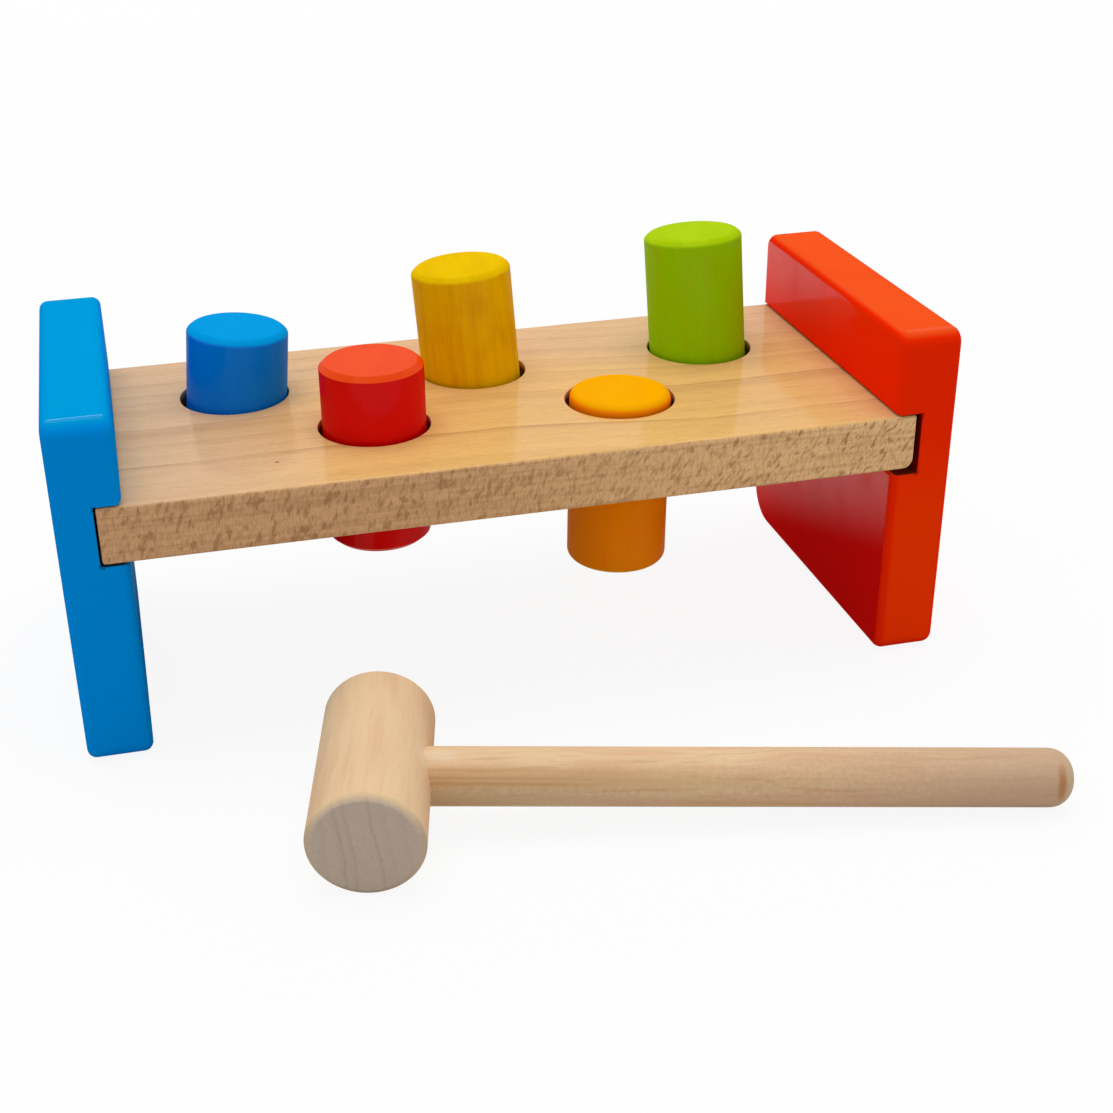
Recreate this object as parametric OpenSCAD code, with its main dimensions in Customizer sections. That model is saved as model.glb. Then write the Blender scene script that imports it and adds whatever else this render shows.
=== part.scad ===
// Peg pounding bench: a beech board between two lacquered end boards, five pegs that a mallet
// drives through rubber-gripped holes, and the mallet lying on the floor in front.
// X runs along the bench, -Y faces the player, Z is up. The origin is on the floor, in the
// middle of the space that bench and mallet take up together.

/* [End boards] */
// Length of the bench over both end boards
bench_len = 250; // [244:1:320]
// Depth of the end boards, front to back
end_depth = 104.6; // [98:0.1:130]
// Height of the end boards
end_height = 100; // [88:0.5:130]
// Thickness of the end boards
end_thick = 18; // [16:0.5:24]
// Radius of the end boards' corners, seen from the side
end_corner_r = 4.4; // [3.2:0.1:12]
// Radius of the end boards' low back corner, seen from the side
low_back_r = 13; // [12:0.5:20]
// Rounding of the end boards' edges
end_edge_r = 2.6; // [0.5:0.1:3]

/* [Board] */
// Height of the board's top above the floor
board_top = 75.9; // [60:0.1:84]
// Thickness of the board
board_thick = 16.2; // [13:0.1:18]
// How far the board's back edge stays inside the end boards
board_back_inset = 0.9; // [0:0.1:6]
// Easing of the board's long edges
board_ease = 1; // [0.3:0.1:2]
// Easing of the upright edges and the top edges of the board's ends
board_end_ease = 0.5; // [0.2:0.1:1.5]
// Rounding of the low edge of the board's left end
left_low_round = 1.5; // [0.3:0.1:5]
// Rounding of the low edge of the board's right end
right_low_round = 4; // [0.3:0.1:6]

/* [Slots in the end boards] */
// Depth of the slots that take the board's ends
slot_depth = 7.5; // [5:0.1:9]
// Gap over the board in both slots
slot_top_gap = 0.4; // [0.1:0.1:1.5]
// Gap under the board in the left slot
left_under_gap = 0.5; // [0.1:0.1:2.5]
// Gap under the board in the right slot
right_under_gap = 1.7; // [0.1:0.1:2.5]
// Gap between the board's left end and the slot's floor
left_end_gap = 0.6; // [0.1:0.1:2]
// Gap between the board's right end and the slot's floor
right_end_gap = 1.7; // [0.1:0.1:2]
// Rounding of the left slot's lips
left_lip_round = 1.7; // [0.3:0.1:2.4]
// Rounding of the right slot's lips
right_lip_round = 0.9; // [0.3:0.1:2.4]
// Easing of the slots' edges on the front and back faces
slot_ease = 0.4; // [0.2:0.1:1]

/* [Holes] */
// From the end boards' inner faces to the centres of the outermost holes, before the shift
hole_margin = 34.8; // [33:0.1:38]
// Distance between the front and the back row of holes
row_gap = 34.5; // [34:0.1:44]
// Shift of the hole pattern to the right of the bench's middle
pattern_shift_x = 0.7; // [-1:0.1:1]
// Shift of the hole pattern to the back of the bench's middle
pattern_shift_y = 1.4; // [-4:0.1:4]
// Free gap between a peg and its hole
hole_gap = 1.25; // [1.1:0.05:1.5]
// Rounding of the holes' rims
rim_round = 0.3; // [0.2:0.1:1.5]

/* [Grip rings] */
// Radius of a grip ring's round section
ring_section_r = 1.5; // [1.4:0.05:1.8]
// Running clearance between a peg and its grip ring
grip_fit = 0.05; // [0.01:0.01:0.1]
// Clearance of a grip ring in its groove
groove_fit = 0.03; // [0.01:0.01:0.1]

/* [Pegs] */
// Radius of the pegs
peg_r = 14.75; // [14.4:0.05:14.9]
// Length of the pegs
peg_len = 53; // [46:0.5:60]
// Width of the chamfers on the end faces of all pegs but the orange one
peg_bevel_across = 1.7; // [1:0.1:3]
// Length of these chamfers along the pegs' sides
peg_bevel_deep = 1.5; // [1:0.1:3]
// Rounding between chamfers and end faces on the blue, yellow and green peg
peg_face_round = 2.4; // [0.3:0.1:2.4]
// Rounding between chamfers and sides on the blue, yellow and green peg
peg_side_round = 1.2; // [0.1:0.1:1.2]
// Rounding of both borders of the red peg's chamfers, which are left crisper
red_bevel_round = 0.4; // [0.1:0.1:0.5]
// Rounding of the orange peg's ends, which have no chamfers
orange_end_round = 2.6; // [1:0.1:4]
// Height of the blue peg's top above the board, as a share of the pegs' stroke
blue_rise_share = 0.571; // [0.05:0.001:0.98]
// Lean of the blue peg to the right, as a share of the lean that its hole leaves free
blue_lean_x_share = 0.678; // [-0.68:0.001:0.68]
// Lean of the blue peg to the back, as a share of the free lean
blue_lean_y_share = 0.026; // [-0.2:0.001:0.2]
// Height of the red peg's top above the board, as a share of the stroke
red_rise_share = 0.526; // [0.05:0.001:0.98]
// Lean of the red peg to the right, as a share of the free lean
red_lean_x_share = 0.013; // [-0.4:0.001:0.4]
// Lean of the red peg to the back, as a share of the free lean
red_lean_y_share = 0.013; // [-0.4:0.001:0.4]
// Height of the yellow peg's top above the board, as a share of the stroke
yellow_rise_share = 0.897; // [0.05:0.001:0.98]
// Lean of the yellow peg to the right, as a share of the free lean
yellow_lean_x_share = -0.486; // [-0.6:0.001:0.6]
// Lean of the yellow peg to the back, as a share of the free lean
yellow_lean_y_share = 0.217; // [-0.3:0.001:0.3]
// Height of the orange peg's top above the board, as a share of the stroke
orange_rise_share = 0.068; // [0.05:0.001:0.98]
// Lean of the orange peg to the right, as a share of the free lean
orange_lean_x_share = 0.141; // [-0.4:0.001:0.4]
// Lean of the orange peg to the back, as a share of the free lean
orange_lean_y_share = 0.077; // [-0.4:0.001:0.4]
// Height of the green peg's top above the board, as a share of the stroke
green_rise_share = 0.984; // [0.05:0.001:0.984]
// Lean of the green peg to the right, as a share of the free lean
green_lean_x_share = -0.358; // [-0.4:0.001:0.4]
// Lean of the green peg to the back, as a share of the free lean
green_lean_y_share = 0.512; // [-0.52:0.001:0.52]

/* [Dowels] */
// Radius of the dowels
dowel_r = 4; // [3:0.1:5]
// Length of the dowels
dowel_len = 28; // [24:0.5:28]
// Distance between neighbouring dowels
dowel_pitch = 34; // [28:0.5:38]
// Wood left behind the dowel holes in the end boards
dowel_floor = 2.5; // [2:0.1:4]
// Rounding of the dowels' ends
dowel_round = 0.8; // [0.3:0.1:1.5]
// Radius of the glue flutes along the dowels
flute_r = 0.35; // [0.2:0.05:0.6]
// Number of flutes round a dowel
flute_count = 12; // [6:1:16]

/* [Mallet] */
// Radius of the mallet's head
head_r = 14.9; // [13:0.1:18]
// Length of the mallet's head
head_len = 58.4; // [45:0.1:75]
// Width of the chamfers on the head's end faces
head_bevel_across = 1.9; // [1:0.1:3]
// Length of the chamfers along the head's side
head_bevel_deep = 1.5; // [1:0.1:3]
// Rounding of both borders of the head's chamfers
head_bevel_round = 0.3; // [0.1:0.1:0.5]
// Radius of the handle
handle_r = 7.65; // [6:0.05:9]
// Length of the handle from the head's axis to its tip
handle_len = 179.2; // [130:0.1:185]
// Radius of the flat on the handle's rounded tip
tip_flat_r = 1.75; // [0.5:0.05:5]
// Rounding of the handle's glued end
tenon_round = 0.8; // [0.3:0.1:1.5]
// Wood left behind the handle's bore in the head
bore_floor = 7.5; // [4:0.1:10]
// How far the handle stands off the head's middle, towards its back end
handle_offset = 0.7; // [-5:0.1:5]
// How far the handle's bore is out of square with the head, in degrees
handle_skew = 1.7; // [-3:0.1:3]

/* [Glued joints] */
// Clearance of glued round joints
glue_fit = 0.02; // [0.01:0.01:0.1]
// Room for glue at the bottom of each blind hole
glue_room = 0.5; // [0.2:0.1:1]

/* [Where the mallet lies] */
// The head's middle, to the right of the bench's middle
head_x = -53.3; // [-60:0.1:-20]
// Free room between the end boards' front faces and the head
mallet_gap = 16.8; // [5:0.1:60]
// Turn of the mallet on the floor, seen from above, in degrees
mallet_turn = -13.3; // [-20:0.1:0]

/* [Hidden] */
$fn = 96;
// Overrun of every cut past the face that it opens
cut_over = 1;
// Overlap that joins a rounding to the sloping face beside it
weld = 0.002;

// The board, between the floors of the two slots
slot_floor_x = bench_len / 2 - end_thick + slot_depth;
board_left_x = -slot_floor_x + left_end_gap;
board_right_x = slot_floor_x - right_end_gap;
board_len = board_right_x - board_left_x;
board_depth = end_depth - board_back_inset;
board_mid_x = (board_left_x + board_right_x) / 2;
board_mid_y = -board_back_inset / 2;
board_mid_z = board_top - board_thick / 2;
hole_pitch = (bench_len / 2 - end_thick - hole_margin) / 2;
hole_r = peg_r + hole_gap;
dowel_end_depth = end_thick - slot_depth - dowel_floor;

// A peg's stroke, from flush with the board's top to flush with its underside, and the lean at
// which a peg would touch its hole's upper and lower rim
stroke = peg_len - board_thick;
free_lean = acos(peg_r / norm([hole_r, board_thick / 2])) - atan2(board_thick / 2, hole_r);

// The grip rings' size follows from the peg that leans most
function lean(x_share, y_share) = acos(cos(x_share * free_lean) * cos(y_share * free_lean));
max_lean = max(
    lean(blue_lean_x_share, blue_lean_y_share), lean(red_lean_x_share, red_lean_y_share),
    lean(yellow_lean_x_share, yellow_lean_y_share), lean(orange_lean_x_share, orange_lean_y_share),
    lean(green_lean_x_share, green_lean_y_share)
);
ring_mid_r = (peg_r + grip_fit + ring_section_r) / cos(max_lean);

// Places of the holes: counted from the middle one, the even ones in the back row
function hole_x(place) = pattern_shift_x + place * hole_pitch;
function hole_y(place) = pattern_shift_y + (abs(place) == 1 ? -row_gap / 2 : row_gap / 2);
BLUE_PLACE = -2;
RED_PLACE = -1;
YELLOW_PLACE = 0;
ORANGE_PLACE = 1;
GREEN_PLACE = 2;

// The mallet lies on its head and on the lowest point of its handle's rounded tip
handle_round = handle_r - tip_flat_r;
tip_run = handle_len - handle_round;
handle_slope = asin((head_r - handle_round) / norm([tip_run, tip_flat_r])) - atan2(tip_flat_r, tip_run);
tenon_reach = head_r - bore_floor;

// The space that bench and mallet take up together, front to back
head_soft_r = head_r - head_bevel_across
    - head_bevel_round * tan(atan2(head_bevel_deep, head_bevel_across) / 2);
head_reach = (head_len / 2 - head_bevel_round) * cos(mallet_turn)
    + head_soft_r * abs(sin(mallet_turn)) + head_bevel_round;
head_y = end_depth / 2 + mallet_gap + head_reach;
handle_aim_y = sin(mallet_turn) * cos(handle_skew) * cos(handle_slope) + cos(mallet_turn) * sin(handle_skew);
handle_front = -head_y + cos(mallet_turn) * handle_offset + handle_aim_y * tip_run
    - tip_flat_r * sqrt(1 - handle_aim_y ^ 2) - handle_round;
set_back = end_depth / 2;
set_front = min(-head_y - head_reach, handle_front);
origin_y = (set_back + set_front) / 2;

// Everything is drawn about the bench's middle and then moved to the common origin
module in_frame() {
    translate([0, -origin_y, 0]) children();
}

// A rectangle about the origin with round corners
module rounded_rect(width, height, radius) {
    square([width - 2 * radius, height], center = true);
    square([width, height - 2 * radius], center = true);
    for (side = [-1, 1]) {
        for (end = [-1, 1]) {
            translate([side * (width / 2 - radius), end * (height / 2 - radius)]) circle(radius);
        }
    }
}

// What a rounding takes off a corner at the origin that points to +X and +Y
module corner_waste(radius) {
    translate([-radius, -radius]) difference() {
        square(radius + cut_over);
        circle(radius);
    }
}

// A turned bar that stands on the origin, with its two ends rounded
module turned_bar(radius, length, low_round, high_round) {
    rotate_extrude() {
        intersection() {
            square([radius, length]);
            union() {
                translate([0, low_round]) square([radius, length - low_round - high_round]);
                square([radius - low_round, length / 2]);
                translate([0, length / 2]) square([radius - high_round, length / 2]);
                translate([radius - low_round, low_round]) circle(low_round);
                translate([radius - high_round, length - high_round]) circle(high_round);
            }
        }
    }
}

// A turned bar about the origin with chamfered ends: face_round is the rounding between chamfer
// and end face, side_round the one between chamfer and side
module beveled_bar(radius, length, across, deep, face_round, side_round) {
    half = length / 2;
    slope = atan2(deep, across);
    face_run = face_round * tan(slope / 2);
    side_run = side_round * tan(45 - slope / 2);
    upper = [
        [0, half],
        [radius - across - face_run, half],
        [radius - across + face_run * cos(slope), half - face_run * sin(slope)],
        [radius - side_run * cos(slope), half - deep + side_run * sin(slope)],
        [radius, half - deep - side_run]
    ];
    lower = [for (i = [4 : -1 : 0]) [upper[i][0], -upper[i][1]]];
    rotate_extrude() {
        intersection() {
            translate([0, -half]) square([radius, length]);
            union() {
                polygon(concat(upper, lower));
                for (side = [-1, 1]) {
                    translate([radius - across - face_run, side * (half - face_round)])
                        circle(face_round + weld);
                    translate([radius - side_round, side * (half - deep - side_run)])
                        circle(side_round + weld);
                }
            }
        }
    }
}

// A disc with rounded edges, which makes a round corner of an end board
module corner_disc(radius) {
    rotate([0, 90, 0]) rotate_extrude() {
        intersection() {
            rounded_rect(2 * radius, end_thick, end_edge_r);
            translate([0, -end_thick / 2]) square([radius, end_thick]);
        }
    }
}

// An upright board with round corners and rounded edges, about the origin
module end_blank() {
    difference() {
        union() {
            rotate([90, 0, 0]) linear_extrude(end_depth - 2 * end_corner_r, center = true)
                rounded_rect(end_thick, end_height, end_edge_r);
            linear_extrude(end_height - 2 * end_corner_r, center = true)
                rounded_rect(end_thick, end_depth, end_edge_r);
            for (side = [-1, 1]) {
                for (end = [-1, 1]) {
                    translate([
                        0, side * (end_depth / 2 - end_corner_r), end * (end_height / 2 - end_corner_r)
                    ]) corner_disc(end_corner_r);
                }
            }
        }
        translate([-end_thick / 2 - cut_over, end_depth / 2 - low_back_r, -end_height / 2 - cut_over])
            cube([end_thick + 2 * cut_over, low_back_r + cut_over, low_back_r + cut_over]);
    }
    translate([0, end_depth / 2 - low_back_r, low_back_r - end_height / 2]) corner_disc(low_back_r);
}

// A slot's cut, open to front and back: its floor lies at x = 0, and the end board's inner face
// at x = slot_depth
module slot_cut(low, high, lip_round) {
    translate([0, end_depth / 2 + cut_over, 0]) rotate([90, 0, 0])
        linear_extrude(end_depth + 2 * cut_over) {
            translate([0, low]) square([slot_depth + cut_over, high - low]);
            translate([slot_depth, high]) rotate(-90) corner_waste(lip_round);
            translate([slot_depth, low]) corner_waste(lip_round);
        }
    for (side = [0, 1]) {
        mirror([0, side, 0]) translate([0, end_depth / 2, 0]) {
            translate([-slot_ease, 0, 0]) rotate([90, 0, 90])
                linear_extrude(slot_depth + slot_ease + cut_over) {
                    translate([0, low]) corner_waste(slot_ease);
                    translate([0, high]) rotate(-90) corner_waste(slot_ease);
                }
            translate([0, 0, low - slot_ease]) linear_extrude(high - low + 2 * slot_ease)
                corner_waste(slot_ease);
        }
    }
}

// The left end board: its slot faces +X
module end_board(under_gap, lip_round) {
    difference() {
        translate([-bench_len / 2 + end_thick / 2, 0, end_height / 2]) end_blank();
        translate([-slot_floor_x, 0, 0])
            slot_cut(board_top - board_thick - under_gap, board_top + slot_top_gap, lip_round);
        for (place = [-1, 0, 1]) {
            translate([-slot_floor_x - dowel_end_depth, board_mid_y + place * dowel_pitch, board_mid_z])
                rotate([0, 90, 0]) cylinder(r = dowel_r + glue_fit, h = dowel_end_depth + cut_over);
        }
    }
}

module left_end_board() {
    color("dodgerblue") in_frame() end_board(left_under_gap, left_lip_round);
}

module right_end_board() {
    color("orangered") in_frame() mirror([1, 0, 0]) end_board(right_under_gap, right_lip_round);
}

// Half the outline of a hole with rounded rims and a half-round groove for its grip ring
module hole_outline() {
    half = board_thick / 2;
    translate([0, -half - cut_over]) square([hole_r, board_thick + 2 * cut_over]);
    translate([ring_mid_r, 0]) circle(ring_section_r + groove_fit);
    translate([hole_r, half]) rotate(90) corner_waste(rim_round);
    translate([hole_r, -half]) rotate(180) corner_waste(rim_round);
}

// The board seen from the front, about the origin
module board_front() {
    difference() {
        square([board_len, board_thick], center = true);
        translate([board_len / 2, board_thick / 2]) corner_waste(board_end_ease);
        translate([-board_len / 2, board_thick / 2]) rotate(90) corner_waste(board_end_ease);
        translate([-board_len / 2, -board_thick / 2]) rotate(180) corner_waste(left_low_round);
        translate([board_len / 2, -board_thick / 2]) rotate(270) corner_waste(right_low_round);
    }
}

module board_blank() {
    intersection() {
        rotate([90, 0, 0]) linear_extrude(board_depth, center = true) board_front();
        rotate([90, 0, 90]) linear_extrude(board_len, center = true)
            rounded_rect(board_depth, board_thick, board_ease);
        linear_extrude(board_thick, center = true)
            rounded_rect(board_len, board_depth, board_end_ease);
    }
}

// The dowel holes in one end of the board, drilled inwards from +X
module board_dowel_holes(end_x, end_gap) {
    depth = dowel_len - dowel_end_depth + 2 * glue_room - end_gap;
    for (place = [-1, 0, 1]) {
        translate([end_x - depth, board_mid_y + place * dowel_pitch, board_mid_z])
            rotate([0, 90, 0]) cylinder(r = dowel_r + glue_fit, h = depth + cut_over);
    }
}

module bench_board() {
    color("burlywood") in_frame() difference() {
        translate([board_mid_x, board_mid_y, board_mid_z]) board_blank();
        for (place = [BLUE_PLACE : GREEN_PLACE]) {
            translate([hole_x(place), hole_y(place), board_mid_z]) rotate_extrude() hole_outline();
        }
        board_dowel_holes(board_right_x, right_end_gap);
        mirror([1, 0, 0]) board_dowel_holes(-board_left_x, left_end_gap);
    }
}

// Moves a peg drawn about the origin into its hole, where it leans about the middle of its
// grip ring
module peg_place(place, rise_share, lean_x_share, lean_y_share) {
    lean_x = lean_x_share * free_lean;
    lean_y = lean_y_share * free_lean;
    top_run = (rise_share * stroke + board_thick / 2) / (cos(lean_x) * cos(lean_y));
    in_frame() translate([hole_x(place), hole_y(place), board_mid_z])
        rotate([-lean_y, lean_x, 0]) translate([0, 0, top_run - peg_len / 2]) children();
}

// A peg with chamfered ends
module beveled_peg(face_round, side_round) {
    beveled_bar(peg_r, peg_len, peg_bevel_across, peg_bevel_deep, face_round, side_round);
}

module blue_peg() {
    color("royalblue") peg_place(BLUE_PLACE, blue_rise_share, blue_lean_x_share, blue_lean_y_share)
        beveled_peg(peg_face_round, peg_side_round);
}

module red_peg() {
    color("red") peg_place(RED_PLACE, red_rise_share, red_lean_x_share, red_lean_y_share)
        beveled_peg(red_bevel_round, red_bevel_round);
}

module yellow_peg() {
    color("gold") peg_place(YELLOW_PLACE, yellow_rise_share, yellow_lean_x_share, yellow_lean_y_share)
        beveled_peg(peg_face_round, peg_side_round);
}

module orange_peg() {
    color("orange") peg_place(ORANGE_PLACE, orange_rise_share, orange_lean_x_share, orange_lean_y_share)
        translate([0, 0, -peg_len / 2])
            turned_bar(peg_r, peg_len, orange_end_round, orange_end_round);
}

module green_peg() {
    color("yellowgreen") peg_place(GREEN_PLACE, green_rise_share, green_lean_x_share, green_lean_y_share)
        beveled_peg(peg_face_round, peg_side_round);
}

// A rubber ring in the groove half way down its hole
module grip_ring(place) {
    color("dimgray") in_frame() translate([hole_x(place), hole_y(place), board_mid_z])
        rotate_extrude() translate([ring_mid_r, 0]) circle(ring_section_r);
}

// A fluted dowel, glued into the board's end and the end board on the side given
module dowel(side, place) {
    end_x = slot_floor_x + dowel_end_depth - glue_room;
    color("wheat") in_frame() translate([side * end_x, board_mid_y + place * dowel_pitch, board_mid_z])
        rotate([0, -side * 90, 0]) difference() {
            turned_bar(dowel_r, dowel_len, dowel_round, dowel_round);
            for (turn = [0 : flute_count - 1]) {
                rotate([0, 0, turn * 360 / flute_count]) translate([dowel_r, 0, -cut_over])
                    cylinder(r = flute_r, h = dowel_len + 2 * cut_over);
            }
        }
}

// Moves what is drawn along +X from the head's axis to where the mallet lies
module mallet_place() {
    in_frame() translate([head_x, -head_y, head_r]) rotate([0, handle_slope, mallet_turn]) children();
}

// The line of the handle: +Z runs from the head's axis to the tip
module handle_line() {
    translate([0, handle_offset, 0]) rotate([0, 90, handle_skew]) children();
}

module mallet_head() {
    color("bisque") mallet_place() difference() {
        rotate([90, 0, 0]) beveled_bar(
            head_r, head_len, head_bevel_across, head_bevel_deep, head_bevel_round, head_bevel_round
        );
        handle_line() translate([0, 0, -tenon_reach])
            cylinder(r = handle_r + glue_fit, h = tenon_reach + head_r + cut_over);
    }
}

module mallet_handle() {
    color("wheat") mallet_place() handle_line() translate([0, 0, -tenon_reach + glue_room])
        turned_bar(handle_r, handle_len + tenon_reach - glue_room, tenon_round, handle_round);
}

bench_board();
left_end_board();
right_end_board();
blue_peg();
red_peg();
yellow_peg();
orange_peg();
green_peg();
grip_ring(BLUE_PLACE);  // blue_grip_ring
grip_ring(RED_PLACE);  // red_grip_ring
grip_ring(YELLOW_PLACE);  // yellow_grip_ring
grip_ring(ORANGE_PLACE);  // orange_grip_ring
grip_ring(GREEN_PLACE);  // green_grip_ring
dowel(-1, -1);  // left_front_dowel
dowel(-1, 0);  // left_middle_dowel
dowel(-1, 1);  // left_back_dowel
dowel(1, -1);  // right_front_dowel
dowel(1, 0);  // right_middle_dowel
dowel(1, 1);  // right_back_dowel
mallet_head();
mallet_handle();
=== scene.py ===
import math

import bpy
from mathutils import Matrix, Vector


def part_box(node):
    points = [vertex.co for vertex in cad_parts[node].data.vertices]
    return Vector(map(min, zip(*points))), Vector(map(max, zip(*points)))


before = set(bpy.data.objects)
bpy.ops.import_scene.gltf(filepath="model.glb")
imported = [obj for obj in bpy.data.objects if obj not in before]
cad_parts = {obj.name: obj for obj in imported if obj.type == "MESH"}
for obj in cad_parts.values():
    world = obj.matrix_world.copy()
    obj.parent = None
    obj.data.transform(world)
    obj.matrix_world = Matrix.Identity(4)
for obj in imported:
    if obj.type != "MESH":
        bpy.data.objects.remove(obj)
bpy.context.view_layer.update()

# Millimetres in a metre, and the axes of a place or a direction
MM = 1000
RIGHT, BACK, UP = range(3)
# Low and high corner of the bench board's box, in millimetres
BOARD_LOW, BOARD_HIGH = ([MM * value for value in corner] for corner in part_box("bench_board"))
# The screen's curve from a colour's share to light: straight up to the knee, a power above it
CURVE_KNEE, CURVE_SLOPE, CURVE_LIFT, CURVE_POWER = 0.04045, 12.92, 0.055, 2.4


def srgb(red, green, blue):
    """A colour as read off a screen, 0 to 255, as light."""
    def light(value):
        share = value / 255
        if share <= CURVE_KNEE:
            return share / CURVE_SLOPE
        return ((share + CURVE_LIFT) / (1 + CURVE_LIFT)) ** CURVE_POWER
    return tuple(light(value) for value in (red, green, blue))


# Where the camera stands, in metres and degrees, and what its lens sees
CAMERA_PLACE = (-0.10111, -0.41904, 0.26251)
CAMERA_YAW = 12.350
CAMERA_PITCH = 27.090
CAMERA_ROLL = -1.452
LENS_MM = 55.772
SENSOR_MM = 36
LENS_SHIFT = (0.0598, 0.0046)
NEAREST_SEEN = 0.01

# Soft light from all round, a large soft lamp overhead and a weak strip lamp low behind
WORLD_LIGHT = 0.61
LAMPS = {
    "overhead softbox": {"place": (0.0, 0.25, 1.40), "size": (1.2, 0.8), "watts": 7.9},
    "back strip": {"place": (-0.15, 1.30, 0.90), "size": (1.1, 0.14), "watts": 1.6},
}
WHITE = (1, 1, 1, 1)
FLOOR_SIDE = 8
FLOOR_ROUGH = 0.8
# How much of the floor's look is plain white; the rest of it takes the shadows. Between these
# two distances from the middle, in millimetres, it rises to all of it
FLOOR_WHITE = 0.9
ALL_WHITE = (300.0, 1500.0)
# How much light the floor throws back, and how pale it looks
FLOOR_BOUNCE = srgb(212, 212, 212)
FLOOR_LOOK = srgb(250, 250, 250)

# Lean of each peg to the right and to the back, in degrees
PEG_LEANS = {
    "blue_peg": (5.30, 0.20),
    "red_peg": (0.10, 0.10),
    "yellow_peg": (-3.80, 1.70),
    "orange_peg": (1.10, 0.60),
    "green_peg": (-2.80, 4.00),
}
# How the mallet lies: turn of head and handle on the floor and slope of the handle, in degrees
HEAD_TURN = -13.3
HANDLE_TURN = -11.6
HANDLE_SLOPE = 2.4


class Socket:
    """A shader socket with which sums are written as plain expressions."""

    def __init__(self, link):
        self.link = link
        self.tree = link.id_data

    def __add__(self, other): return maths("ADD", self, other)
    def __radd__(self, other): return maths("ADD", other, self)
    def __sub__(self, other): return maths("SUBTRACT", self, other)
    def __rsub__(self, other): return maths("SUBTRACT", other, self)
    def __mul__(self, other): return maths("MULTIPLY", self, other)
    def __rmul__(self, other): return maths("MULTIPLY", other, self)


def add(tree, kind, settings=None, output=0, **sockets):
    """Adds a node: its settings first, then the values or links of its sockets.

    A socket goes by its name, or by its number as i0, i1 and so on.
    """
    made = tree.nodes.new(kind)
    for name, value in (settings or {}).items():
        setattr(made, name, value)
    for name, value in sockets.items():
        numbered = name[1:].isdigit()
        place = made.inputs[int(name[1:]) if numbered else name.replace("_", " ")]
        if isinstance(value, Socket):
            tree.links.new(value.link, place)
        else:
            place.default_value = value
    return Socket(made.outputs[output])


def maths(operation, *values):
    tree = next(value.tree for value in values if isinstance(value, Socket))
    return add(tree, "ShaderNodeMath", {"operation": operation},
               **{f"i{index}": value for index, value in enumerate(values)})


def size_of(value):
    return maths("ABSOLUTE", value)


def smooth(value, low, high):
    """0 below low, 1 above high, and a soft step between them."""
    return add(value.tree, "ShaderNodeMapRange", {"interpolation_type": "SMOOTHSTEP"},
               Value=value, From_Min=low, From_Max=high)


def fade(value, low, high):
    """1 below low, 0 above high, and a soft step between them."""
    return 1 - smooth(value, low, high)


def mix(factor, first, second):
    """Mixes two colours: the second one shows where the factor is 1."""
    first_colour_input, colour_output = 6, 2
    tree = next(value.tree for value in (factor, first, second) if isinstance(value, Socket))
    colours = {f"i{index}": value if isinstance(value, Socket) else (*value, 1)
               for index, value in enumerate((first, second), first_colour_input)}
    return add(tree, "ShaderNodeMix", {"data_type": "RGBA"}, colour_output, i0=factor, **colours)


def part(vector, axis):
    return add(vector.tree, "ShaderNodeSeparateXYZ", None, axis, Vector=vector)


def vector_maths(operation, first, second):
    return add(first.tree, "ShaderNodeVectorMath", {"operation": operation}, i0=first, i1=second)


def length_of(vector):
    return add(vector.tree, "ShaderNodeVectorMath", {"operation": "LENGTH"}, "Value", i0=vector)


def stretched(vector, scale):
    return vector_maths("MULTIPLY", vector, scale)


def even(waves):
    """The same number of waves along all three axes."""
    return (waves, waves, waves)


def noise(vector, scale, detail=2.0, rough=0.5):
    """Noise from 0 to 1 on a place given in millimetres; scale is in waves per millimetre."""
    return add(vector.tree, "ShaderNodeTexNoise", None, 0,
               Vector=stretched(vector, scale), Scale=1.0, Detail=detail, Roughness=rough)


def swing(level, width):
    """Noise that swings about 0, half the width to either side."""
    noise_middle = 0.5
    return width * (level - noise_middle)


def textures(spot, table):
    """The noises of a table by name, from the waves per millimetre, detail and roughness of each."""
    return {name: noise(spot, *values) for name, values in table.items()}


def streaks_of(grain, table):
    """Sum of soft steps in some noises, from the strength, start and end of each step."""
    return sum((strength * smooth(grain[name], low, high)
                for name, (strength, low, high) in table.items()), 0.0)


def turned_to(tree, source, turn, centre=(0, 0, 0)):
    """A texture coordinate along the axes of a piece, from its centre in metres and turn in degrees."""
    return add(tree, "ShaderNodeMapping", {"vector_type": "TEXTURE"},
               Vector=add(tree, "ShaderNodeTexCoord", None, source),
               Location=centre, Rotation=[math.radians(angle) for angle in turn])


def place_on(tree, centre=(0, 0, 0), turn=(0, 0, 0)):
    """The place on a piece, in millimetres from its centre; the whole part's is on the floor."""
    return stretched(turned_to(tree, "Object", turn, centre), even(MM))


def facing(tree, turn=(0, 0, 0)):
    """How the surface faces, along the axes of a piece."""
    return turned_to(tree, "Normal", turn)


def parts_of(vector):
    return [part(vector, axis) for axis in (RIGHT, BACK, UP)]


def box_middle(name):
    """The middle of the box round a piece, in metres."""
    low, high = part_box(name)
    return tuple((first + second) / 2 for first, second in zip(low, high))


# A soft spot is ragged by noise of this many waves per millimetre, and fades out between these
# shares of its half widths
SMUDGE_WAVES, SMUDGE_RAGGED = 0.8, 0.5
SMUDGE_FADE = (0.2, 1.0)


def smudge(spot, place, size):
    """A soft spot about a place, given with its half widths in millimetres."""
    away = stretched(vector_maths("SUBTRACT", spot, place), [1 / width for width in size])
    ragged = swing(noise(spot, even(SMUDGE_WAVES)), SMUDGE_RAGGED)
    return fade(length_of(away) + ragged, *SMUDGE_FADE)


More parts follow.
